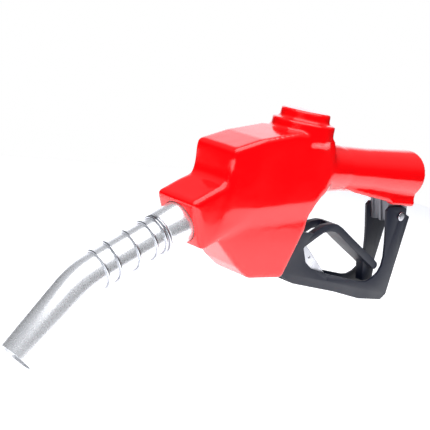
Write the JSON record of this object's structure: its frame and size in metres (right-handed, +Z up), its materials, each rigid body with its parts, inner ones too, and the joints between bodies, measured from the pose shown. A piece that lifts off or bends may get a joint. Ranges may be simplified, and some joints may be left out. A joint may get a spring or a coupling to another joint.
{
  "type": "automatic fuel nozzle",
  "caption": "Automatic shut-off fuel nozzle with a bent spout, red covered body and handle, guarded lever, hold-open clip and working valves.",
  "frame": {"origin": "centre of the hose inlet mouth, at the rear end of the handle", "axes": "+X out of the hose inlet, +Z up along the main valve, Y = 0 the mid-plane of the nozzle"},
  "size_m": [0.4537, 0.0574, 0.2259],
  "materials": {
    "red_vinyl": "glossy dip-moulded vinyl",
    "cast_aluminium": "as cast",
    "spout_aluminium": "brushed",
    "black_coat": "satin black coating",
    "brass": "machined",
    "rubber": "moulded",
    "ptfe": "turned",
    "acetal": "moulded",
    "zinc_plated_steel": "bright zinc plate",
    "stainless_steel": "drawn wire and turned bar"
  },
  "bodies": {
    "nozzle_body": {"insulator_cover": "red_vinyl", "body_casting": "cast_aluminium", "inlet_strainer": "brass", "strainer_ring": "stainless_steel", "body_cap": "cast_aluminium", "cap_o_ring": "rubber", "main_valve_spring": "stainless_steel", "stem_packing": "ptfe", "packing_gland": "brass", "diaphragm_cap": "cast_aluminium", "diaphragm_cap_screws": "stainless_steel", "diaphragm": "rubber", "diaphragm_spring": "stainless_steel", "latch_ring": "stainless_steel", "trip_spring": "stainless_steel", "trip_bushing": "brass", "guard": "black_coat", "guard_rear_rivet": "zinc_plated_steel", "guard_front_bolt": "zinc_plated_steel", "guard_front_nut": "zinc_plated_steel", "clip_pin": "black_coat", "clip_spring": "stainless_steel", "spout_tube": "spout_aluminium", "spout_bushing": "brass", "spout_o_ring": "rubber", "spout_screw": "stainless_steel", "venturi_seat": "brass", "check_spring": "stainless_steel", "check_guide": "brass", "vacuum_tube": "stainless_steel", "anchor_spring": "stainless_steel"},
    "main_valve": {"main_poppet": "brass", "poppet_seal": "rubber", "poppet_retainer": "brass", "main_stem": "stainless_steel"},
    "latch": {"latch_pin": "stainless_steel", "diaphragm_plate": "brass"},
    "trip": {"trip_stem": "stainless_steel", "latch_balls": "stainless_steel", "lever_pivot_pin": "stainless_steel", "lever_pin_clips": "stainless_steel"},
    "lever": {"lever": "black_coat"},
    "clip": {"hold_open_clip": "zinc_plated_steel"},
    "check_valve": {"check_poppet": "acetal", "check_nut": "stainless_steel"}
  },
  "joints": [
    {"name": "trip_slide", "type": "slide", "parent": "nozzle_body", "child": "trip", "axis": [0, 0, -1], "range_m": [0, 0.006], "stiffness_N_per_m": 600, "springref_m": -0.012, "deforming": ["trip_spring"]},
    {"name": "lever_hinge", "type": "hinge", "parent": "trip", "child": "lever", "pos_m": [-0.228, 0, -0.084], "axis": [0, -1, 0], "range_deg": [0, 10.5], "stiffness_Nm_per_rad": 15, "springref_deg": -3.44},
    {"name": "main_valve_slide", "type": "slide", "parent": "nozzle_body", "child": "main_valve", "axis": [0, 0, 1], "range_m": [0, 0.0099], "deforming": ["main_valve_spring"]},
    {"name": "latch_slide", "type": "slide", "parent": "nozzle_body", "child": "latch", "axis": [0, 0, 1], "range_m": [0, 0.003], "stiffness_N_per_m": 300, "springref_m": -0.004, "deforming": ["diaphragm_spring"]},
    {"name": "clip_hinge", "type": "hinge", "parent": "nozzle_body", "child": "clip", "pos_m": [-0.108, 0, -0.1045], "axis": [0, 1, 0], "range_deg": [0, 25], "stiffness_Nm_per_rad": 0.05, "springref_deg": -28.65},
    {"name": "check_slide", "type": "slide", "parent": "nozzle_body", "child": "check_valve", "axis": [-0.8829, 0, -0.4695], "range_m": [0, 0.004], "stiffness_N_per_m": 400, "springref_m": -0.004}
  ],
  "couplings": [
    {"joint": "main_valve_slide", "follows": "lever_hinge", "m_per_rad": 0.054}
  ]
}
